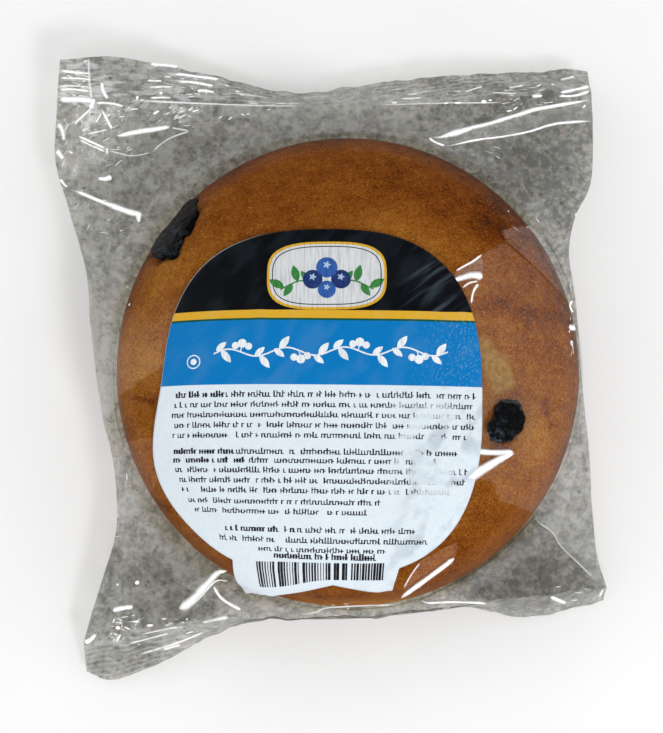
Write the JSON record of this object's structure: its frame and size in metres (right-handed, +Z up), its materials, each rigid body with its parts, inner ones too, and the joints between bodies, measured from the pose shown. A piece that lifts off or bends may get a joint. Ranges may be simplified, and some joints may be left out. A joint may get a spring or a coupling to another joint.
{
  "type": "wrapped muffin",
  "caption": "Large domed berry muffin sealed in a clear flow-wrap film bag with crimped end seals and a round paper label with a tab on top.",
  "frame": {"origin": "centre of the muffin's flat base, on the face the pack rests on", "axes": "+Z up, away from the face it rests on; +Y towards the label's upper edge and the upper end seal; +X to the right of the label's print"},
  "size_m": [0.1431, 0.1635, 0.0623],
  "materials": {
    "film": "clear glossy film over a golden-brown muffin",
    "paper": "coated label paper, printed in black, gold, blue and white"
  },
  "bodies": {
    "root": {"bag": "film", "label": "paper"}
  },
  "joints": []
}
